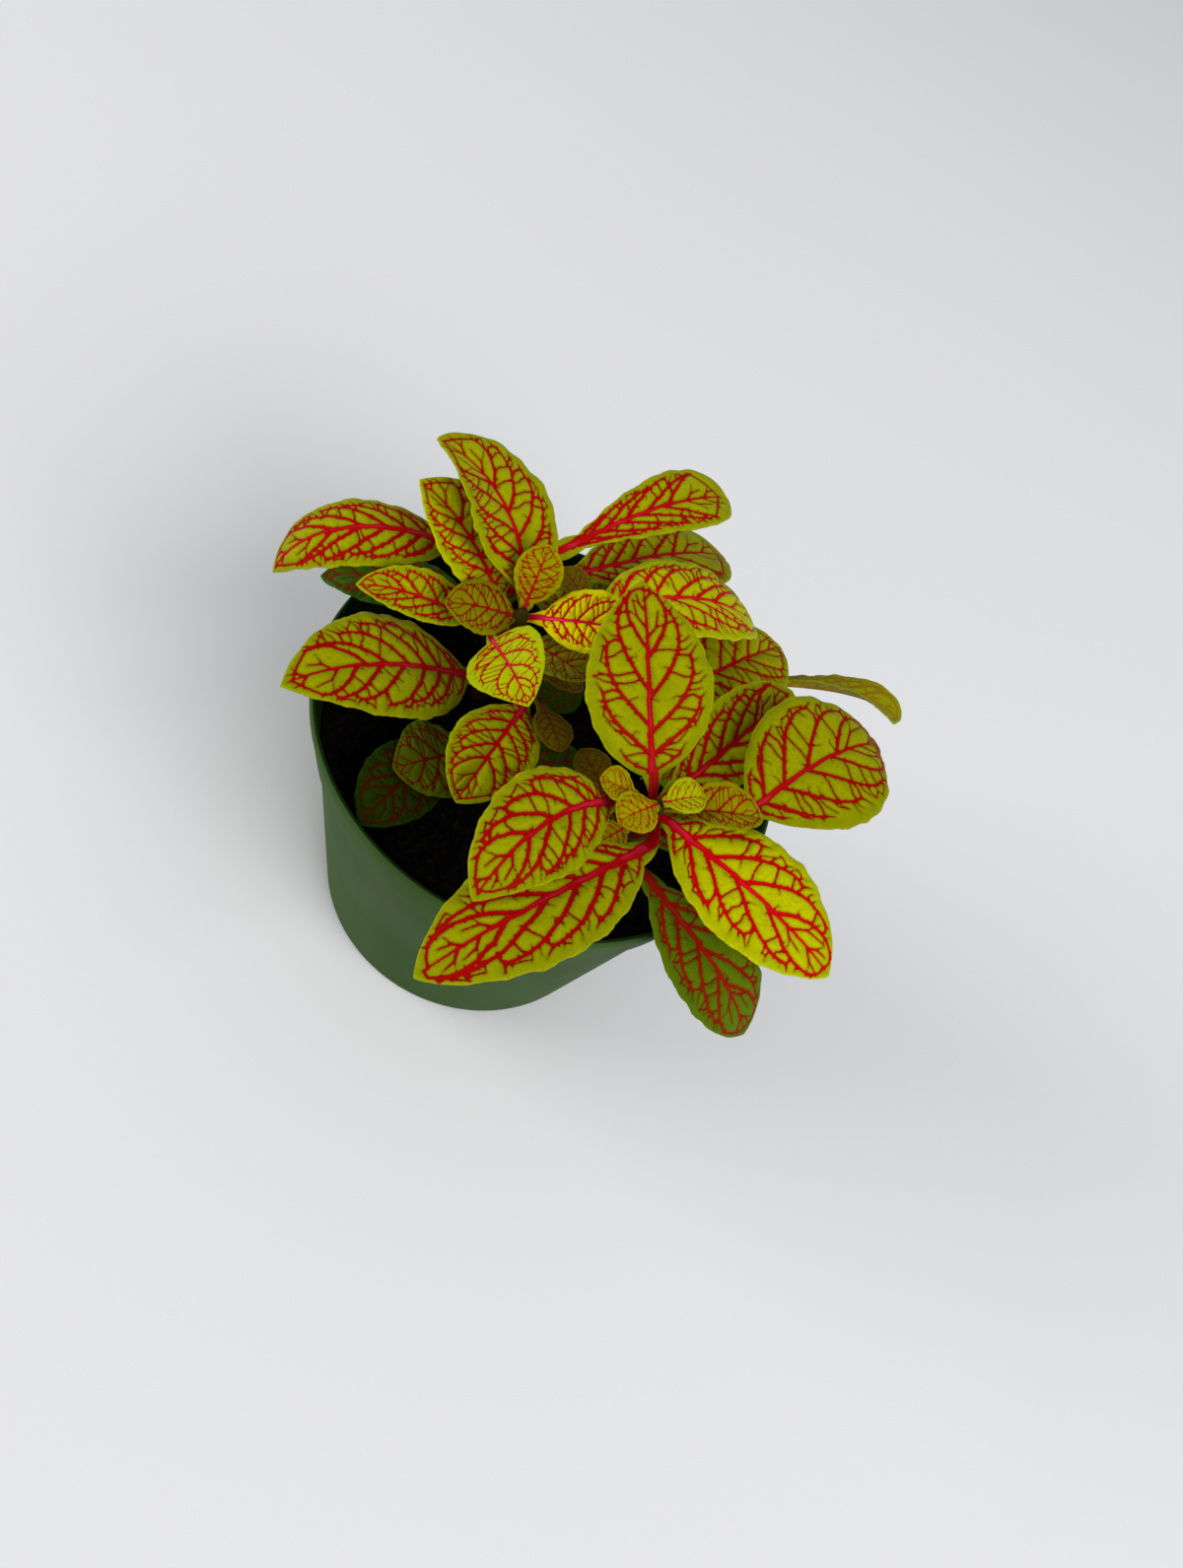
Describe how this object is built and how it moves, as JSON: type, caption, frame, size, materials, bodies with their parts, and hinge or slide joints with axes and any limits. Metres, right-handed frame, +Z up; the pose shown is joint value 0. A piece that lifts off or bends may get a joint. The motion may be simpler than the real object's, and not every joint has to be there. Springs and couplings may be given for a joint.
{
  "type": "potted nerve plant",
  "caption": "Young nerve plant with red net-veined lime leaves on several short shoots, growing in a round tapered green nursery pot",
  "frame": {"origin": "the middle of the pot's flat base, on the surface that it stands on", "axes": "+Z up along the pot's axis; +X to the right and +Y away from the viewer who looks at the picture's near side of the pot"},
  "size_m": [0.1356, 0.1422, 0.1193],
  "materials": {
    "pot_plastic": "satin",
    "peat": "matte",
    "stem": "satin",
    "leaf_lime": "satin",
    "leaf_mid": "satin",
    "leaf_dark": "satin",
    "leaf_young": "satin",
    "leaf_bright": "satin"
  },
  "bodies": {
    "root": {"pot": "pot_plastic", "soil": "peat", "stem_left": "stem", "stem_front": "stem", "stem_rear": "stem", "stem_low": "stem", "stem_back_left": "stem", "stem_back_right": "stem", "leaf_front_1": "leaf_lime", "leaf_front_2": "leaf_lime", "leaf_front_3": "leaf_lime", "leaf_front_4": "leaf_lime", "leaf_front_5": "leaf_lime", "leaf_front_6": "leaf_lime", "leaf_front_7": "leaf_dark", "leaf_front_8": "leaf_young", "leaf_left_1": "leaf_lime", "leaf_left_2": "leaf_lime", "leaf_left_3": "leaf_young", "leaf_left_4": "leaf_bright", "leaf_left_5": "leaf_young", "leaf_left_6": "leaf_lime", "leaf_left_7": "leaf_lime", "leaf_left_8": "leaf_lime", "leaf_back_left_1": "leaf_lime", "leaf_back_left_2": "leaf_dark", "leaf_back_left_3": "leaf_lime", "leaf_back_left_4": "leaf_lime", "leaf_rear_1": "leaf_lime", "leaf_back_right_1": "leaf_lime", "leaf_back_right_2": "leaf_mid", "leaf_back_right_3": "leaf_mid", "leaf_low_1": "leaf_lime", "leaf_low_2": "leaf_mid", "leaf_low_3": "leaf_dark", "leaf_back_left_5": "leaf_dark", "leaf_rear_2": "leaf_dark", "leaf_back_right_4": "leaf_dark", "leaf_back_right_5": "leaf_mid", "leaf_rear_3": "leaf_mid", "leaf_back_left_6": "leaf_dark", "leaf_front_9": "leaf_dark"}
  },
  "joints": []
}
